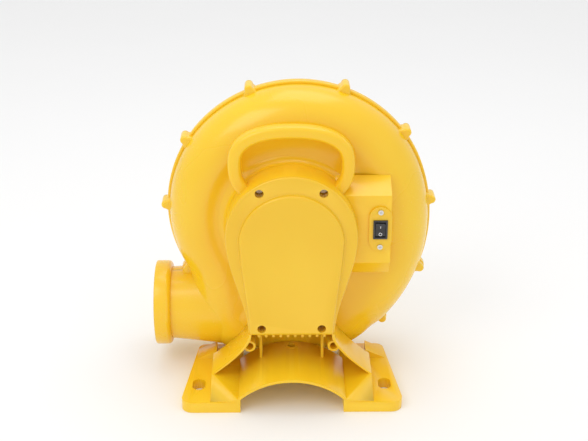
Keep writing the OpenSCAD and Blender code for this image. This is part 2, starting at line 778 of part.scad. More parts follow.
module rocker() {
    // Side view of the rocker about its pivot: forward is up, the faces meet in a shallow valley
    l = rocker_l / 2;
    top = plate_f + bezel_t - pivot_f;
    color("black") translate([switch_x, switch_y, pivot_f]) rotate([rocker_tilt, 0, 0]) union() {
        rotate([0, 90, 0]) translate([0, 0, -rocker_w / 2]) linear_extrude(rocker_w) intersection() {
            polygon([[2, -l + 1.4], [-top + 0.6, -l], [-top - 1.2, -l + 0.8], [-top + 0.2, 0],
                [-top - 1.2, l - 0.8], [-top + 0.6, l], [2, l - 1.4]]);
            circle(l);
        }
        rotate([0, 90, 0]) translate([0, 0, -cell_w / 2]) cylinder(r = pivot_r, h = cell_w);
    }
}
module switch_terminals() {
    color("silver") for (s = [-1, 0, 1])
        translate([switch_x - 2.4, switch_y + s * 6.5 - 0.4, plate_f - cell_d - 7]) cube([4.8, 0.8, 7]);
}
module cable_gland() {
    inside = gland_sag + stand_wall + 0.6;
    color("gold") translate([gland_x, gland_y, gland_f]) rotate([90, 0, 0]) difference() {
        union() {
            translate([0, 0, -inside]) cylinder(r = gland_r, h = inside + 1);
            cylinder(r = gland_flange, h = 3);
            translate([0, 0, 3]) cylinder(r = gland_r - 0.5, h = 6);
        }
        translate([0, 0, -inside - 1]) cylinder(r = gland_bore, h = inside + 11);
    }
}
module capacitor() {
    color("black") {
        translate([-28, cap_y, cap_f]) rotate([0, 90, 0]) cylinder(r = cap_r, h = 56);
        translate([-31, cap_y, cap_f]) rotate([0, 90, 0]) cylinder(r = 5, h = 3);
    }
}
module capacitor_clamp() {
    color("silver") difference() {
        union() {
            translate([-6, cap_y, cap_f]) rotate([0, 90, 0]) cylinder(r = strap_r, h = 12);
            translate([-6, cap_y - strap_r, casing_d]) cube([12, strap_t, cap_f - casing_d]);
            translate([-6, cap_y - cap_r - 10, casing_d]) cube([12, 10, 1.5]);
        }
        translate([-7, cap_y, cap_f]) rotate([0, 90, 0]) cylinder(r = cap_r + seat_fit * 0.2, h = 14);
    }
}
module cover_screws() {
    color("silver") for (p = posts) screw(p[0], p[1], post_f + 2.5, 9, cover_screw_r);
}
module stand_screws() {
    color("silver") for (p = tabs) mirror([0, 0, 1])
        screw(p[0], p[1], casing_wall - casing_d - spot, casing_wall + 5 - spot, cover_screw_r);
}

place() front_volute();
place() rear_volute();
place() casing_screws();
place() outlet_collar();
place() inlet_guard();
place() guard_screws();
place() impeller();
place() impeller_nut();
place() motor_shaft();
place() rotor_core();
place() cooling_fan();
place() stator_core();
place() stator_windings();
place() rear_end_bell();
place() front_end_bell();
place() ball_bearings();
place() motor_bolts();
place() mount_screws();
place() shaft_seal();
place() motor_stand();
place() stand_screws();
place() motor_cover();
place() cover_screws();
place() carry_handle();
place() switch_box();
place() switch_plate();
place() plate_screws();
place() switch_body();
place() rocker();
place() switch_terminals();
place() cable_gland();
place() capacitor();
place() capacitor_clamp();
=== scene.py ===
# %% [markdown]
# # An electric air blower
#
# The blower has a round scroll casing in two moulded halves, a motor stand with splayed feet,
# a loop handle, a screwed motor cover and a rocker switch.  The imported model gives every
# place and size.  Here each visible moulding gets its soft edges and its finish.

import json

import bmesh
import bpy
import numpy as np
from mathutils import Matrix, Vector


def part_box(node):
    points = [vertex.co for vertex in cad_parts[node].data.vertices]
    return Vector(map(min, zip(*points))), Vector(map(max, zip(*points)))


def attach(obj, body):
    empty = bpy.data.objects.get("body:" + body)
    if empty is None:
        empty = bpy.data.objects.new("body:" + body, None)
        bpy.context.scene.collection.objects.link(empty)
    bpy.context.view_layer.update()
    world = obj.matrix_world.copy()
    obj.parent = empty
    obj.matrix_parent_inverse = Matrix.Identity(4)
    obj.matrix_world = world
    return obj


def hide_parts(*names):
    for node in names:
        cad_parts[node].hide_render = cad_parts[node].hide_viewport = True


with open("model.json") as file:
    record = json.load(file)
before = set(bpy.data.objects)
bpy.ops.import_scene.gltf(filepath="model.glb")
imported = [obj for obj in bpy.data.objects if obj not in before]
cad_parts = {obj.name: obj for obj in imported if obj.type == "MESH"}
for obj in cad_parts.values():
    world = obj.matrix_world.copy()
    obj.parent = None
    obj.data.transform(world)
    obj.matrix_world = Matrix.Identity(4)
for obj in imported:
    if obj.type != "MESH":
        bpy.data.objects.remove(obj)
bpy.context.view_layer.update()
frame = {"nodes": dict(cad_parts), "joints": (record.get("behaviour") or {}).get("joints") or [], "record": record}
nodes = frame["nodes"]
for plain in list(bpy.data.materials):
    bpy.data.materials.remove(plain)

# %% [markdown]
# ## Bench coordinates
#
# The blower is easiest to describe from its fan axis: X to the right, Y up and F forward,
# in millimetres.  The spin joint lies on that axis, so its position is the bench origin.
# One function turns bench arrays into floor metres, and every piece goes through it.

# %% Bench frame
MM = 0.001
axis_at = np.array(frame["joints"][0]["pos_m"], float)


def bench(x, y, f):
    """Floor position of bench point (x, y, f): X stays, F points to -Y and Y points to +Z."""
    x, y, f = np.broadcast_arrays(*(np.asarray(a, float) for a in (x, y, f)))
    return np.stack([axis_at[0] + x * MM, axis_at[1] - f * MM, axis_at[2] + y * MM], axis=-1)


def bench_box(node):
    """Lowest and highest bench corner of a CAD node."""
    lo, hi = (np.array(c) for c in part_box(node))
    low = np.array([lo[0] - axis_at[0], lo[2] - axis_at[2], axis_at[1] - hi[1]])
    high = np.array([hi[0] - axis_at[0], hi[2] - axis_at[2], axis_at[1] - lo[1]])
    return low / MM, high / MM


print("axis at", axis_at.round(5), "cover", [c.round(1) for c in bench_box("motor_cover")])

# %% [markdown]
# ## Camera, floor and light
#
# The camera is level with the top of the casing and looks down at it a little, from in front.
# Two broad area lights and a pale surround give moulded plastic its long soft highlights.

# %% Camera
TARGET = Vector((0.00024, 0.0311, 0.170))
DISTANCE = 1.350
AZIMUTH, ELEVATION = np.radians(-0.7), np.radians(24.0)
away = Vector((np.sin(AZIMUTH) * np.cos(ELEVATION), -np.cos(AZIMUTH) * np.cos(ELEVATION),
               np.sin(ELEVATION)))
lens = bpy.data.cameras.new("view_camera")
lens.lens, lens.sensor_width = 75.1, 36.0
camera = bpy.data.objects.new("view_camera", lens)
camera.location = TARGET + away * DISTANCE
camera.rotation_euler = (TARGET - camera.location).to_track_quat("-Z", "Y").to_euler()
bpy.context.scene.collection.objects.link(camera)
bpy.context.scene.camera = camera
print("camera at", [round(c, 4) for c in camera.location])


# %% Lights
def area_light(name, place, size, watts, colour=(1, 1, 1)):
    """Square area light of that size, turned towards the middle of the blower."""
    data = bpy.data.lights.new(name, "AREA")
    data.size, data.energy, data.color = size, watts, colour
    lamp = bpy.data.objects.new(name, data)
    lamp.location = place
    lamp.rotation_euler = (Vector((0, 0, 0.16)) - Vector(place)).to_track_quat("-Z", "Y").to_euler()
    bpy.context.scene.collection.objects.link(lamp)


area_light("key_light", (-0.9, -1.0, 1.5), 1.0, 6)
area_light("fill_light", (1.3, -1.1, 0.8), 1.2, 0.6)
area_light("top_light", (0.1, 0.25, 1.5), 0.9, 4)
world = bpy.data.worlds.new("surround")
world.use_nodes = True
world.node_tree.nodes["Background"].inputs["Color"].default_value = (1, 1, 1, 1)
world.node_tree.nodes["Background"].inputs["Strength"].default_value = 0.86
bpy.context.scene.world = world
bpy.context.scene.view_settings.view_transform = "Standard"

# %% [markdown]
# ## Shader arithmetic
#
# A finish is easier to read as arithmetic than as a web of nodes.  A small class wraps a
# socket, and an expression on wrapped sockets adds the Math nodes that work it out.


# %% Shader helper
class Sock:
    """A socket in a node tree; + - * and / on it add Math nodes."""

    def __init__(self, tree, socket):
        self.tree, self.socket = tree, socket

    def _math(self, kind, a, b):
        return node_of(self.tree, "ShaderNodeMath", {"operation": kind}, {0: a, 1: b})[0]

    def __add__(self, other):
        return self._math("ADD", self, other)

    def __radd__(self, other):
        return self._math("ADD", other, self)

    def __sub__(self, other):
        return self._math("SUBTRACT", self, other)

    def __rsub__(self, other):
        return self._math("SUBTRACT", other, self)

    def __mul__(self, other):
        return self._math("MULTIPLY", self, other)

    def __rmul__(self, other):
        return self._math("MULTIPLY", other, self)

    def __truediv__(self, other):
        return self._math("DIVIDE", self, other)


def node_of(tree, kind, settings=None, values=None, stops=None):
    """Adds a node, sets it up, feeds its sockets and returns its wrapped outputs."""
    made = tree.nodes.new(kind)
    for key, value in (settings or {}).items():
        setattr(made, key, value)
    if stops:
        ramp = made.color_ramp.elements
        for i, (place, colour) in enumerate(stops):
            stop = ramp[i] if i < len(ramp) else ramp.new(place)
            stop.position, stop.color = place, colour
    for key, value in (values or {}).items():
        if isinstance(value, Sock):
            tree.links.new(value.socket, made.inputs[key])
        else:
            made.inputs[key].default_value = value
    return [Sock(tree, out) for out in made.outputs]


class Finish:
    """A material with one Principled shader and the patterns that real surfaces show."""

    def __init__(self, name, **constants):
        self.material = bpy.data.materials.new(name)
        self.material.use_nodes = True
        self.tree = self.material.node_tree
        self.shader = self.tree.nodes["Principled BSDF"]
        for key, value in constants.items():
            self.shader.inputs[key.replace("_", " ")].default_value = value
        self.place = node_of(self.tree, "ShaderNodeTexCoord")[3]

    def noise(self, scale, detail=3.0, rough=0.5):
        """Noise in Object metres; scale is its lumps per metre."""
        return node_of(self.tree, "ShaderNodeTexNoise", {}, {
            "Vector": self.place, "Scale": scale, "Detail": detail, "Roughness": rough})[0]

    def stretched(self, factors, scale, detail=2.0):
        """Noise drawn out along an axis: factors squeeze the coordinates first."""
        drawn = node_of(self.tree, "ShaderNodeVectorMath", {"operation": "MULTIPLY"},
                        {0: self.place, 1: factors})[0]
        return node_of(self.tree, "ShaderNodeTexNoise", {}, {
            "Vector": drawn, "Scale": scale, "Detail": detail})[0]

    def mix(self, mask, a, b):
        """Colour a where mask is 0 and b where it is 1."""
        made = self.tree.nodes.new("ShaderNodeMix")
        made.data_type = "RGBA"
        self.tree.links.new(mask.socket, made.inputs[0])
        for k, colour in ((6, a), (7, b)):
            if isinstance(colour, Sock):
                self.tree.links.new(colour.socket, made.inputs[k])
            else:
                made.inputs[k].default_value = (*colour, 1)
        return Sock(self.tree, made.outputs[2])

    def ramp(self, value, low, high):
        """0 below low and 1 above high, in a straight line between."""
        return node_of(self.tree, "ShaderNodeMapRange", {"clamp": True}, {
            0: value, 1: low, 2: high, 3: 0.0, 4: 1.0})[0]

    def feed(self, socket, value):
        self.tree.links.new(value.socket, self.shader.inputs[socket])

    def bump(self, height, strength, distance):
        self.feed("Normal", node_of(self.tree, "ShaderNodeBump", {}, {
            "Height": height, "Strength": strength, "Distance": distance})[0])


def edge_wear(finish, low=0.515, high=0.56):
    """Mask of convex edges, from the mesh's own pointiness."""
    point = node_of(finish.tree, "ShaderNodeNewGeometry")[7]
    return finish.ramp(point, low, high)


print("shader helper ready")

# %% [markdown]
# ## Finishes
#
# The mouldings are glossy yellow ABS.  A real one is never one flat colour: thick sections
# look deeper, the skin has faint flow ripples a few centimetres long, fine mould texture
# breaks the highlights, and scuffs dull the corners.


# %% Yellow mouldings
def moulded_yellow(name, base, deep, gloss, ripple):
    """Glossy yellow ABS: colour drift, uneven gloss, mould texture and rubbed edges."""
    f = Finish(name, IOR=1.52, Coat_IOR=1.5, Coat_Roughness=0.12, Subsurface_Weight=0.06,
               Subsurface_Scale=0.004, Coat_Weight=0.22)
    drift = f.noise(9.0, 2.0)
    speck = f.noise(2600.0, 2.0)
    scuff = f.ramp(f.noise(420.0, 5.0, 0.7), 0.63, 0.72)
    body = f.mix(f.ramp(drift, 0.30, 0.72), base, deep)
    pale = tuple(min(1.0, c * 1.06 + 0.02) for c in base)
    f.feed("Base Color", f.mix(edge_wear(f) * 0.5, f.mix(scuff * 0.16, body, pale), pale))
    f.feed("Roughness", gloss + drift * 0.07 + scuff * 0.10 + edge_wear(f) * 0.05)
    f.bump(f.noise(34.0, 1.0) * ripple + speck * 0.04 + f.noise(900.0, 2.0) * 0.03, 0.35, 0.0006)
    return f.material


casing_yellow = moulded_yellow("casing_yellow", (0.94, 0.60, 0.014), (0.91, 0.54, 0.009), 0.24, 0.5)
cover_yellow = moulded_yellow("cover_yellow", (0.88, 0.55, 0.013), (0.85, 0.50, 0.009), 0.30, 0.3)
guard_yellow = moulded_yellow("guard_yellow", (0.91, 0.55, 0.012), (0.87, 0.49, 0.008), 0.34, 0.3)
handle_yellow = moulded_yellow("handle_yellow", (0.94, 0.60, 0.014), (0.91, 0.54, 0.009), 0.28, 0.3)
print("yellow finishes", 4)


# %% Metals, rubber and dark plastics
def metal(name, base, rough, streak, grain=900.0):
    """Metal with drawn streaks, handling marks and brighter edges."""
    f = Finish(name, Metallic=1.0, IOR=1.5)
    lines = f.stretched(streak, grain)
    marks = f.ramp(f.noise(260.0, 4.0, 0.65), 0.56, 0.70)
    bright = tuple(min(1.0, c * 1.25) for c in base)
    dull = tuple(c * 0.72 for c in base)
    f.feed("Base Color", f.mix(edge_wear(f), f.mix(marks * 0.6, base, dull), bright))
    f.feed("Roughness", rough + lines * 0.12 + marks * 0.12)
    f.bump(lines, 0.25, 0.00008)
    return f.material


def dark_plastic(name, base, rough, texture):
    """Dark moulded plastic: fine spark texture, dust in the hollows, greyed edges."""
    f = Finish(name, IOR=1.48, Coat_Weight=0.05, Coat_Roughness=0.3)
    grain = f.noise(texture, 3.0, 0.6)
    dust = f.ramp(f.noise(60.0, 4.0, 0.6), 0.52, 0.75)
    grey = tuple(c * 1.7 + 0.02 for c in base)
    f.feed("Base Color", f.mix(edge_wear(f), f.mix(dust * 0.35, base, grey), grey))
    f.feed("Roughness", rough + grain * 0.14 + dust * 0.08)
    f.bump(grain, 0.3, 0.00012)
    return f.material


screw_steel = metal("screw_steel", (0.60, 0.59, 0.57), 0.26, (1, 1, 6))
shaft_steel = metal("shaft_steel", (0.56, 0.56, 0.57), 0.18, (6, 1, 6))
lamination_steel = metal("lamination_steel", (0.33, 0.34, 0.36), 0.38, (0.05, 1, 0.05), 2000.0)
bell_aluminium = metal("bell_aluminium", (0.68, 0.69, 0.70), 0.42, (1, 1, 1), 1400.0)
bearing_chrome = metal("bearing_chrome", (0.72, 0.72, 0.74), 0.10, (1, 8, 1))
terminal_brass = metal("terminal_brass", (0.72, 0.58, 0.30), 0.28, (1, 6, 1))
copper = metal("copper", (0.70, 0.27, 0.10), 0.30, (0.1, 1, 0.1), 2600.0)
black_plastic = dark_plastic("black_plastic", (0.014, 0.014, 0.016), 0.36, 2400.0)
rocker_black = dark_plastic("rocker_black", (0.020, 0.020, 0.022), 0.22, 1500.0)
fan_plastic = dark_plastic("fan_plastic", (0.045, 0.045, 0.050), 0.48, 1300.0)
capacitor_black = dark_plastic("capacitor_black", (0.018, 0.018, 0.020), 0.30, 1800.0)
seal_rubber = dark_plastic("seal_rubber", (0.012, 0.012, 0.012), 0.62, 1100.0)
print("other finishes", 12)

# %% [markdown]
# Every CAD node first takes the finish that its record names.  Mouldings that need soft
# edges are replaced further down, and the screws and the motor inside stay as they are.

# %% Finish for every node
finish_of = {m.name: m for m in bpy.data.materials}
for part in frame["record"]["subparts"]:
    mesh = nodes[part["node"]].data
    mesh.materials.clear()
    mesh.materials.append(finish_of[part["material_slot"]])

# %% [markdown]
# ## The floor
#
# A plain pale sheet, much larger than the view.

# %% Floor
FLOOR = 40.0
floor_mesh = bpy.data.meshes.new("studio_floor")
corners = np.array([[-1, -1, 0], [1, -1, 0], [1, 1, 0], [-1, 1, 0]], float) * FLOOR
floor_mesh.from_pydata(corners.tolist(), [], [(0, 1, 2, 3)])
floor_finish = Finish("studio_paper", Roughness=0.9)
PAPER = (0.93, 0.93, 0.93), (0.95, 0.95, 0.95)
floor_finish.feed("Base Color", floor_finish.mix(floor_finish.noise(3.0), *PAPER))
floor_mesh.materials.append(floor_finish.material)
floor = bpy.data.objects.new("studio_floor", floor_mesh)
bpy.context.scene.collection.objects.link(floor)
print("floor", FLOOR * 2, "m")

# %% [markdown]
# ## Surfaces swept round an outline
#
# Nearly every moulding here is a wall that follows a closed outline and turns over at its
# edge.  So one helper is enough: an outline of points with outward normals, and a section of
# (offset, height) pairs that is carried round it.  Cubes with bevels would need much cleaning
# up; a swept section gives each rounded edge its real radius.


# %% Outlines
def outline_normals(points):
    """Outward unit normal along a closed anticlockwise outline: the tangent turned right."""
    along = np.roll(points, -1, axis=0) - np.roll(points, 1, axis=0)
    along /= np.linalg.norm(along, axis=1, keepdims=True)
    return np.stack([along[:, 1], -along[:, 0]], axis=1)


def even_outline(points, count):
    """The same closed outline with count points at equal steps of its length."""
    closed = np.vstack([points, points[:1]])
    run = np.concatenate([[0], np.cumsum(np.linalg.norm(np.diff(closed, axis=0), axis=1))])
    at = np.linspace(0, run[-1], count, endpoint=False)
    return np.stack([np.interp(at, run, closed[:, k]) for k in (0, 1)], axis=1)


def softened(values, reach):
    """Circular running mean of values over reach samples each way, along axis 0, twice."""
    for _ in range(2):
        values = np.mean([np.roll(values, k, axis=0) for k in range(-reach, reach + 1)], axis=0)
    return values


def fillet(x0, h0, x1, h1, count=7):
    """Quarter ellipse from (x0, h0), leaving it along h, to (x1, h1), which it meets along x."""
    t = np.linspace(0, np.pi / 2, count)
    return np.stack([x1 + (x0 - x1) * np.cos(t), h0 + (h1 - h0) * np.sin(t)], axis=1)


def fillet_out(x0, h0, x1, h1, count=7):
    """Quarter ellipse from (x0, h0), leaving it along x, to (x1, h1), which it meets along h."""
    t = np.linspace(0, np.pi / 2, count)
    return np.stack([x0 + (x1 - x0) * np.sin(t), h1 + (h0 - h1) * np.cos(t)], axis=1)


print("outline helpers ready")


# %% Grids into one mesh
class Shell:
    """Collects grids of bench points and makes them one mesh."""

    def __init__(self):
        self.points, self.quads, self.caps, self.count = [], [], [], 0

    def grid(self, points, close_u=True, close_v=False, flip=False):
        """Quads over points[u, v]; close_u and close_v join the last row to the first."""
        n, m = points.shape[:2]
        u = np.arange(n if close_u else n - 1)[:, None]
        v = np.arange(m if close_v else m - 1)[None, :]
        a, b = u * m + v, ((u + 1) % n) * m + v
        c, d = ((u + 1) % n) * m + (v + 1) % m, u * m + (v + 1) % m
        quad = np.stack([a, b, c, d], axis=-1).reshape(-1, 4) + self.count
        self.quads.append(quad[:, ::-1] if flip else quad)
        self.points.append(points.reshape(-1, 3))
        first, self.count = self.count, self.count + n * m
        return first, n, m

    def cap(self, first, n, m, column, flip=False):
        """Closes a ring of a grid with one flat face."""
        ring = (first + np.arange(n) * m + column).tolist()
        self.caps.append(ring[::-1] if flip else ring)

    def sweep(self, outline, section, close_section=False, cap_ends=(False, False)):
        """Carries section, pairs of (outward offset, height f), round a closed outline."""
        normal = outline_normals(outline)
        plan = outline[:, None, :] + normal[:, None, :] * section[None, :, 0, None]
        f = np.broadcast_to(section[None, :, 1], plan.shape[:2])
        made = self.grid(bench(plan[..., 0], plan[..., 1], f), close_v=close_section)
        if cap_ends[0]:
            self.cap(*made, 0, flip=True)
        if cap_ends[1]:
            self.cap(*made, section.shape[0] - 1)
        return made

    def piece(self, name, finish, smooth=35.0):
        """One welded mesh object at the origin, with edges over smooth degrees sharp."""
        mesh = bpy.data.meshes.new(name)
        quads = np.vstack(self.quads).tolist() if self.quads else []
        mesh.from_pydata(np.vstack(self.points).tolist(), [], quads + self.caps)
        made = bmesh.new()
        made.from_mesh(mesh)
        bmesh.ops.remove_doubles(made, verts=made.verts, dist=2e-6)
        bmesh.ops.dissolve_degenerate(made, edges=made.edges, dist=1e-7)
        bmesh.ops.recalc_face_normals(made, faces=made.faces)
        made.to_mesh(mesh)
        made.free()
        mesh.polygons.foreach_set("use_smooth", np.ones(len(mesh.polygons), bool))
        mesh.set_sharp_from_angle(angle=np.radians(smooth))
        mesh.materials.append(finish)
        thing = bpy.data.objects.new(name, mesh)
        bpy.context.scene.collection.objects.link(thing)
        print(name, len(mesh.polygons), "faces")
        return thing


def stands_for(piece, body, slot, *cad):
    """The piece rides on a body and hides the CAD nodes it stands for; slot is not used."""
    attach(piece, body)
    if cad:
        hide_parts(*cad)


print("shell helper ready")

# %% [markdown]
# ## The scroll casing
#
# The casing's edge is a spiral of three tangent arcs that runs out into the outlet.  From the
# joint rim its skin turns over in a broad quarter round, crests, sinks into a shallow valley
# and rises in a fillet to the motor drum.  As a function of direction and of distance inward
# that is one smooth grid, which shows the long highlights a lathe and a cut would break.

# %% Spiral outline
LOW = bench_box("rear_volute")[0]
JOINT_DEPTH = -LOW[2]
C1, R1 = np.array([8.0, 1.0]), 140.0
R2, R3 = 178.0, 90.0
SWELL_FROM, SWELL_TO = np.radians(20.0), np.radians(-55.0)
C2 = C1 + (R1 - R2) * np.array([np.cos(SWELL_FROM), np.sin(SWELL_FROM)])
C3 = C2 + (R2 - R3) * np.array([np.cos(SWELL_TO), np.sin(SWELL_TO)])
SHOULDER = 38.0
FOOT_END, TONGUE = np.radians(-113.0), np.radians(-150.0)


def ray_to_arc(direction, centre, radius):
    """Distance from the axis along direction to a circle round centre."""
    c, s = np.cos(direction), np.sin(direction)
    along = centre[0] * c + centre[1] * s
    return along + np.sqrt(np.maximum(along**2 - centre @ centre + radius**2, 0))


def spiral(count):
    """Casing edge: nearest arc for each direction, the duct's line at the foot, then softened."""
    a = np.linspace(0, 2 * np.pi, count, endpoint=False)
    signed = (a + np.pi) % (2 * np.pi) - np.pi
    far = ray_to_arc(a, C1, R1)
    far = np.where((signed < SWELL_FROM) & (signed > SWELL_TO), ray_to_arc(a, C2, R2), far)
    far = np.where((signed <= SWELL_TO) & (signed > np.radians(-81)), ray_to_arc(a, C3, R3), far)
    rise = 15.0 / 118.0
    line = (C3[1] - R3 - rise * C3[0]) / np.minimum(np.sin(a) + rise * np.cos(a), -0.2)
    foot = (signed <= np.radians(-81)) & (signed > FOOT_END)
    far = np.where(foot, line, far)
    edge = (signed <= FOOT_END) & (signed > TONGUE)
    ease = np.clip((FOOT_END - signed) / (FOOT_END - TONGUE), 0, 1)
    ease = ease * ease * (3 - 2 * ease)
    start = (C3[1] - R3 - rise * C3[0]) / (np.sin(FOOT_END) + rise * np.cos(FOOT_END))
    far = np.where(edge, start * (1 - ease) + ray_to_arc(a, C1, R1) * ease, far)
    return np.stack([far * np.cos(a), far * np.sin(a)], axis=1)


EDGE = even_outline(spiral(2880), 720)
EDGE = softened(EDGE, 4)
print("casing edge", EDGE.min(axis=0).round(1), EDGE.max(axis=0).round(1))


# %% Casing half
def casing_skin(edge, drum, valley, sign):
    """Skin of one half, u round the edge and v inward.

    For the first 38 mm in from the edge the height follows a quarter circle.  From there v
    runs straight to the drum circle, and the height is the crest less valley * sin^2(pi t).
    """
    inward = -outline_normals(edge)
    inward = softened(inward, 26)
    inward /= np.linalg.norm(inward, axis=1, keepdims=True)
    turn = np.linspace(0, np.pi / 2, 19)
    reach = np.concatenate([[0, 0], SHOULDER * (1 - np.cos(turn[1:]))])
    height = np.concatenate([[0, JOINT_DEPTH - SHOULDER],
                             JOINT_DEPTH - SHOULDER + SHOULDER * np.sin(turn[1:])])
    plan = edge[:, None, :] + inward[:, None, :] * reach[None, :, None]
    crest = plan[:, -1]
    angle = np.arctan2(crest[:, 1], crest[:, 0])
    ring = drum * np.stack([np.cos(angle), np.sin(angle)], axis=1)
    t = np.linspace(0, 1, 26)[1:]
    inner = crest[:, None, :] * (1 - t)[None, :, None] + ring[:, None, :] * t[None, :, None]
    low = JOINT_DEPTH - valley * np.sin(np.pi * t**0.85) ** 2
    plan = np.concatenate([plan, inner], axis=1)
    f = sign * np.broadcast_to(np.concatenate([height, low]), plan.shape[:2])
    return bench(plan[..., 0], plan[..., 1], f)


def joint_rim(shell, edge, sign):
    """Band that stands 3 mm out at the joint and is 4 mm thick, with rounded corners."""
    out, tall = 3.0, 4.0
    section = np.vstack([[[-1.0, 0.15]], [[out - 0.4, 0.15]],
                         fillet_out(out - 0.4, 0.15, out, 0.55, 3),
                         fillet(out, tall - 1.3, out - 1.3, tall, 6), [[-1.0, tall + 0.05]]])
    section[:, 1] *= sign
    shell.sweep(edge, section)


print("casing skin ready")


# %% Screw lugs
LUG_AT = np.radians([178, 145, 108, 67, 35, 3.5, -27, -53, 213])
LUG_R, LUG_REACH, LUG_TALL = 4.6, 9.5, 10.0


def edge_distance(direction):
    """Distance from the axis to the casing edge in that direction."""
    around = np.arctan2(EDGE[:, 1], EDGE[:, 0])
    order = np.argsort(around)
    return np.interp((direction + np.pi) % (2 * np.pi) - np.pi, around[order],
                     np.linalg.norm(EDGE, axis=1)[order], period=2 * np.pi)


def lug(shell, direction, sign, bore):
    """Tab with a round tip and flared root; its top edge is rounded."""
    tip = edge_distance(direction) + LUG_REACH - LUG_R
    turn = np.linspace(-np.pi / 2, np.pi / 2, 21)
    nose = np.stack([tip + LUG_R * np.cos(turn), LUG_R * np.sin(turn)], axis=1)
    root = tip - LUG_REACH - 4.0
    flare = np.array([[root, LUG_R + 8.0], [root, -LUG_R - 8.0]])
    plan = even_outline(np.vstack([nose, flare]), 96)
    c, s = np.cos(direction), np.sin(direction)
    plan = plan @ np.array([[c, s], [-s, c]])
    section = np.vstack([[[0, 0.2]], fillet(0, LUG_TALL - 2.2, -2.2, LUG_TALL, 7)])
    section[:, 1] *= sign
    shell.sweep(plan, section, cap_ends=(True, True))
    if bore:
        centre = np.array([tip * c, tip * s])
        a = np.linspace(0, 2 * np.pi, 24, endpoint=False)
        print_ring = centre + 3.6 * np.stack([np.cos(a), np.sin(a)], axis=1)
        proud = np.array([[0, LUG_TALL], [0.5, LUG_TALL + 0.25], [0.9, LUG_TALL]])
        shell.sweep(print_ring, proud * [1, sign])


print("lugs", len(LUG_AT))


# %% Neck
def neck(shell, sign):
    """Half of the round outlet neck, lofted to a wider oval where it leaves the scroll.

    Along it s goes from 0 at the collar to 1 in the scroll; the radius grows by s^1.3 and
    the centre drops to keep the lower line running into the heel.
    """
    mouth = -148.0
    s = np.linspace(0, 1, 40)
    x = mouth + (mouth * -1 - 42.0) * s
    grow = s**1.3
    tall = 40.0 + 11.0 * grow
    deep = 40.0 + 6.6 * grow
    middle = -119.0 - 3.0 * grow
    turn = np.linspace(0, np.pi, 33)
    y = middle[:, None] + tall[:, None] * np.cos(turn)[None, :]
    f = sign * deep[:, None] * np.sin(turn)[None, :]
    shell.grid(bench(np.broadcast_to(x[:, None], y.shape), y, f), close_u=False)


def casing_half(name, sign, drum, valley, cad, bore):
    shell = Shell()
    shell.grid(casing_skin(EDGE, drum, valley, sign))
    joint_rim(shell, EDGE, sign)
    for direction in LUG_AT:
        lug(shell, direction, sign, bore)
    neck(shell, sign)
    half = shell.piece(name, casing_yellow, 40.0)
    wall = half.modifiers.new("wall", "SOLIDIFY")
    wall.thickness, wall.offset = 0.0012, -1
    stands_for(half, "blower", "casing_yellow", cad)
    return half


casing_half("casing_front", 1, 60.0, 3.0, "front_volute", False)
casing_half("casing_rear", -1, 51.0, 2.0, "rear_volute", True)

# %% [markdown]
# ## Mouldings with crisp forms
#
# The stand, the switch housing and the guard are made of flat walls, slots and ribs.  Their
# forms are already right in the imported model, and what a real moulding adds is a small radius
# on every edge.  A merged copy with a Bevel gives that, where sweeping each wall would not.


# %% Bevelled copies
def moulded_copy(node, name, finish, slot, body, radius, angle=32.0):
    """Welded copy of a CAD node with each sharp edge rounded to radius mm."""
    made = bmesh.new()
    made.from_mesh(nodes[node].data)
    bmesh.ops.remove_doubles(made, verts=made.verts, dist=1e-6)
    bmesh.ops.dissolve_limit(made, angle_limit=np.radians(0.6), verts=made.verts, edges=made.edges)
    mesh = bpy.data.meshes.new(name)
    made.to_mesh(mesh)
    made.free()
    mesh.polygons.foreach_set("use_smooth", np.ones(len(mesh.polygons), bool))
    mesh.materials.append(finish)
    thing = bpy.data.objects.new(name, mesh)
    bpy.context.scene.collection.objects.link(thing)
    edge = thing.modifiers.new("edge_radius", "BEVEL")
    edge.width, edge.segments, edge.limit_method = radius * MM, 3, "ANGLE"
    edge.angle_limit, edge.harden_normals, edge.use_clamp_overlap = np.radians(angle), True, True
    stands_for(thing, body, slot, node)
    print(name, len(mesh.polygons), "faces before its bevel")
    return thing


moulded_copy("motor_stand", "stand_moulding", casing_yellow, "casing_yellow", "blower", 1.4)
moulded_copy("switch_box", "switch_housing", casing_yellow, "casing_yellow", "blower", 2.2)
moulded_copy("switch_plate", "switch_pad", cover_yellow, "cover_yellow", "blower", 0.9)
moulded_copy("switch_body", "switch_bezel", black_plastic, "black_plastic", "blower", 0.35)
moulded_copy("rocker", "rocker_key", rocker_black, "rocker_black", "rocker", 0.3)
moulded_copy("outlet_collar", "collar_ring", casing_yellow, "casing_yellow", "blower", 0.8)
moulded_copy("inlet_guard", "guard_grille", guard_yellow, "guard_yellow", "blower", 0.4)

# %% [markdown]
# ## Motor cover
#
# The cover is a flat band with a raised panel.  Both follow the same keyhole: a round head
# over the motor, drawn in to a neck, then opening again towards the feet.  The panel rises
# from the band through a small root radius and turns over in a larger one, and those two
# radii draw the bright line round it.

# %% Keyhole outline
HEAD_R, NECK_W, LEG_W = 69.0, 46.0, 87.0
FLOOR_Y = -185.0
NECK_Y, LEG_Y, COVER_Y = FLOOR_Y + 70.0, FLOOR_Y + 24.0, FLOOR_Y + 73.0
SEAT_F, BAND_T, PANEL_T, BAND_W, PANEL_DY = 86.0, 4.0, 5.0, 13.0, -5.0
POSTS = np.array([[-33, 51], [33, 51], [-32, COVER_Y + 9], [32, COVER_Y + 9]], float)


def eased(u):
    """0 to 1 with level ends: u * u * (3 - 2u)."""
    u = np.clip(u, 0, 1)
    return u * u * (3 - 2 * u)


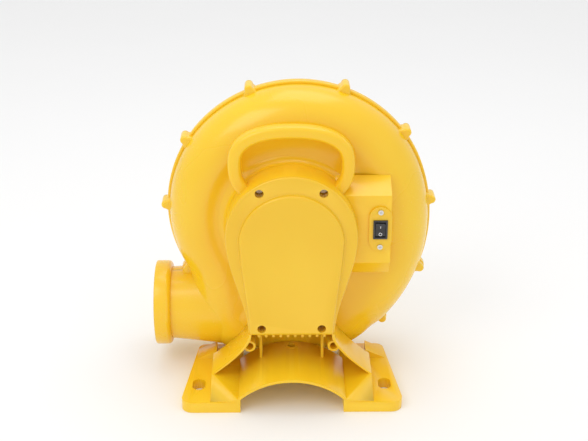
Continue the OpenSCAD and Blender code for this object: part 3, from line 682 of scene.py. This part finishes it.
def keyhole_half(y):
    """Half width at height y: neck eased out to the head, plus the legs' 1.5 power flare."""
    neck_part = NECK_W + (HEAD_R - NECK_W) * eased((y - NECK_Y) / -NECK_Y)
    return neck_part + (LEG_W - NECK_W) * (np.maximum(0, NECK_Y - y) / (NECK_Y - LEG_Y)) ** 1.5


def keyhole(low_y, join_y, radius, side, corner=3.0, count=480):
    """Closed outline: sides from low_y to join_y, round head, rounded lower corners."""
    y = np.linspace(low_y + corner, join_y, 60)
    right = np.stack([side(y), y], axis=1)
    turn = np.linspace(0, np.pi, 90)[1:-1]
    head = np.stack([radius * np.cos(turn), join_y + radius * np.sin(turn)], axis=1)
    a = np.linspace(0, np.pi / 2, 8)
    foot = np.stack([side(low_y + corner) - corner + corner * np.sin(a),
                     low_y + corner - corner * np.cos(a)], axis=1)
    left = right[::-1] * [-1, 1]
    return even_outline(np.vstack([foot[:-1], right, head, left, foot[::-1][1:] * [-1, 1]]), count)


def panel_half(y):
    """Half width of the raised panel: the band beside it narrows away towards the lower edge."""
    return keyhole_half(y) - BAND_W * eased((y - COVER_Y) / 110.0) - 1.5


BAND_EDGE = keyhole(COVER_Y, 0.0, HEAD_R, keyhole_half)
PANEL_EDGE = keyhole(COVER_Y + 0.8, PANEL_DY, HEAD_R - 14.0, panel_half)
print("cover outline", BAND_EDGE.min(axis=0).round(1), BAND_EDGE.max(axis=0).round(1))


# %% Holes in a finished solid
def bored(thing, cutters):
    """Cuts the closed mesh objects in cutters out of thing and keeps the result in its mesh."""
    for cutter in cutters:
        cut = thing.modifiers.new("bore", "BOOLEAN")
        cut.object, cut.operation, cut.solver = cutter, "DIFFERENCE", "EXACT"
    seen = thing.evaluated_get(bpy.context.evaluated_depsgraph_get())
    done = bpy.data.meshes.new_from_object(seen)
    thing.modifiers.clear()
    old, thing.data = thing.data, done
    bpy.data.meshes.remove(old)
    for cutter in cutters:
        bpy.data.objects.remove(cutter)
    done.polygons.foreach_set("use_smooth", np.ones(len(done.polygons), bool))
    done.set_sharp_from_angle(angle=np.radians(32))
    return thing


def circle_outline(x, y, radius, count=48):
    a = np.linspace(0, 2 * np.pi, count, endpoint=False)
    return np.stack([x + radius * np.cos(a), y + radius * np.sin(a)], axis=1)


def drill(x, y, low, high, radius):
    """Closed cylinder along the bench F axis, to cut with."""
    shell = Shell()
    ends = np.array([[0, low], [0, high]], float)
    shell.sweep(circle_outline(x, y, radius), ends, cap_ends=(True, True))
    return shell.piece("drill", cover_yellow)


# %% Cover
POST_F, BORE_R, POST_R = 74.0, 4.6, 6.4
TOP_F, PANEL_F = SEAT_F + BAND_T, SEAT_F + BAND_T + PANEL_T
band = Shell()
band.sweep(BAND_EDGE, np.vstack([[[0, SEAT_F + 0.1]], fillet(0, TOP_F - 2.0, -2.0, TOP_F, 7)]),
           cap_ends=(True, True))
cover_band = bored(band.piece("cover_band", cover_yellow),
                   [drill(x, y, SEAT_F - 2, PANEL_F + 3, BORE_R) for x, y in POSTS])
stands_for(cover_band, "blower", "cover_yellow", "motor_cover")
raised = Shell()
rise = np.vstack([[[1.3, TOP_F - 0.4]], fillet_out(1.3, TOP_F, 0, TOP_F + 1.3, 5),
                  fillet(0, PANEL_F - 3.2, -3.2, PANEL_F, 9)])
raised.sweep(PANEL_EDGE, rise, cap_ends=(True, True))
cover_panel = bored(raised.piece("cover_panel", cover_yellow),
                    [drill(x, y, SEAT_F - 2, PANEL_F + 3, BORE_R) for x, y in POSTS])
stands_for(cover_panel, "blower", "cover_yellow")
wells = Shell()
for x, y in POSTS:
    ring = np.array([[0, POST_F + 0.1], [0, SEAT_F + 1.0],
                     [BORE_R - POST_R, SEAT_F + 1.0], [BORE_R - POST_R, POST_F + 0.1]])
    wells.sweep(circle_outline(x, y, POST_R), ring, close_section=True)
stands_for(wells.piece("cover_posts", cover_yellow), "blower", "cover_yellow")

# %% Vent teeth
TEETH, TOOTH_W, TOOTH_H = 10, 3.1, 4.0
PITCH = 2 * (NECK_W - 7) / TEETH
comb = Shell()
for i in range(TEETH):
    mid = (i - (TEETH - 1) / 2) * PITCH
    a = np.linspace(np.pi, 2 * np.pi, 13)
    tip = np.stack([mid + TOOTH_W / 2 * np.cos(a),
                    COVER_Y - TOOTH_H + TOOTH_W / 2 + TOOTH_W / 2 * np.sin(a)], axis=1)
    plan = np.vstack([tip, [[mid + TOOTH_W / 2, COVER_Y + 1]], [[mid - TOOTH_W / 2, COVER_Y + 1]]])
    depth = np.array([[0, SEAT_F + 0.2], [0, TOP_F - 0.6], [-0.4, TOP_F - 0.15]])
    comb.sweep(plan, depth, cap_ends=(True, True))
stands_for(comb.piece("vent_teeth", cover_yellow), "blower", "cover_yellow")

# %% [markdown]
# ## Carry handle
#
# One rounded bar bent into a loop over the motor head.  It is a closed section carried along
# a superellipse, |x/a|^n + |y/b|^n = 1 with n = 2.4, which is fuller at the shoulders than
# an ellipse, as a grip is.

# %% Handle
LOOP_Y, LOOP_A, LOOP_UP, LOOP_DOWN, LOOP_N = 75.0, 65.5, 42.0, 50.0, 2.4
BAR_W, BAR_D, BAR_F, BAR_ROUND = 13.5, 16.0, 58.0, 4.6
GRIP_END_Y = 30.0  # both ends of the loop stop here, inside the motor head


def loop_outline(count=720):
    """Outer edge of the loop, a superellipse that reaches less far up than down."""
    t = np.linspace(0, 2 * np.pi, count * 4, endpoint=False)
    c, s = np.cos(t), np.sin(t)
    x = LOOP_A * np.sign(c) * np.abs(c) ** (2 / LOOP_N)
    y = LOOP_Y + np.where(s > 0, LOOP_UP, LOOP_DOWN) * np.sign(s) * np.abs(s) ** (2 / LOOP_N)
    return even_outline(np.stack([x, y], axis=1), count)


def bar_section():
    """Rounded rectangle BAR_W by BAR_D, as (offset inward, f), all four corners round."""
    turn = np.linspace(0, np.pi / 2, 7)
    corner = np.stack([np.cos(turn), np.sin(turn)], axis=1) * BAR_ROUND
    half = np.array([BAR_W / 2 - BAR_ROUND, BAR_D / 2 - BAR_ROUND])
    quarter = corner + half
    ring = np.vstack([quarter, quarter[::-1] * [-1, 1],
                      quarter * [-1, -1], quarter[::-1] * [1, -1]])
    return ring + [-BAR_W / 2, BAR_F + BAR_D / 2]


loop = loop_outline()
loop_normal = softened(outline_normals(loop), 6)
loop_normal /= np.linalg.norm(loop_normal, axis=1, keepdims=True)
turned = np.roll(np.arange(len(loop)), len(loop) // 4)
keep = turned[loop[turned][:, 1] > GRIP_END_Y]
section = bar_section()
plan = loop[keep][:, None, :] + loop_normal[keep][:, None, :] * section[None, :, 0, None]
grip = Shell()
depth = np.broadcast_to(section[None, :, 1], plan.shape[:2])
made = grip.grid(bench(plan[..., 0], plan[..., 1], depth), close_u=False, close_v=True)
grip.caps += [(np.arange(made[2])[::-1] + made[0]).tolist(),
              (np.arange(made[2]) + made[0] + (made[1] - 1) * made[2]).tolist()]
stands_for(grip.piece("grip_loop", handle_yellow, 40.0), "blower", "handle_yellow", "carry_handle")

# %% [markdown]
# ## Motor drum root
#
# Where the motor drum leaves the casing, the moulding has a generous inside radius.  A
# quarter round swept about the head makes it.

# %% Drum root
ROOT_R, ROOT_SINK, ROOT_RISE = 13.0, 3.6, 9.0
root = Shell()
root.sweep(circle_outline(0, 0, HEAD_R - 0.4, 160),
           fillet_out(ROOT_R, JOINT_DEPTH - ROOT_SINK, 0.0, JOINT_DEPTH + ROOT_RISE, 13))
drum_root = root.piece("drum_root", casing_yellow)
thick = drum_root.modifiers.new("wall", "SOLIDIFY")
thick.thickness, thick.offset = 0.001, -1
stands_for(drum_root, "blower", "casing_yellow")

# %% [markdown]
# ## Switch marks
#
# The rocker carries the two usual marks, a bar for on and a ring for off, moulded a few
# hundredths proud and filled pale.  They sit on its two faces, which slope up from the
# middle, and turn with it.

# %% Marks
KEY_X, KEY_Y, PIVOT_F, TILT = 93.0, 4.0, 72.4, np.radians(8.0)
KEY_TOP, KEY_HALF, MARK_Y = 4.2, 8.2, 4.3
mark_white = dark_plastic("mark_white", (0.55, 0.55, 0.55), 0.4, 1500.0)


def on_key(x, y, proud):
    """Bench place of a point on the tilted key: the face rises 1.4 mm from middle to end."""
    rise = KEY_TOP - 0.2 + 1.4 * np.abs(y) / (KEY_HALF - 0.8) + proud
    return bench(KEY_X + x, KEY_Y + y * np.cos(TILT) - rise * np.sin(TILT),
                 PIVOT_F + y * np.sin(TILT) + rise * np.cos(TILT))


marks = Shell()
a = np.linspace(0, 2 * np.pi, 32, endpoint=False)
section = np.array([[-0.22, 0.0], [-0.22, 0.06], [0.22, 0.06], [0.22, 0.0]])
reach = 1.5 + section[None, :, 0]
marks.grid(on_key(reach * np.cos(a)[:, None], -MARK_Y + reach * np.sin(a)[:, None],
                  np.broadcast_to(section[None, :, 1], (32, 4))), close_v=True)
bar = np.array([[-0.25, -1.5], [0.25, -1.5], [0.25, 1.5], [-0.25, 1.5]])
lift = np.array([0.0, 0.06])
made = marks.grid(on_key(np.broadcast_to(bar[:, None, 0], (4, 2)),
                         MARK_Y + np.broadcast_to(bar[:, None, 1], (4, 2)),
                         np.broadcast_to(lift[None, :], (4, 2))))
marks.cap(*made, 1)
marks.cap(*made, 0, flip=True)
stands_for(marks.piece("switch_marks", mark_white), "rocker", "rocker_black")
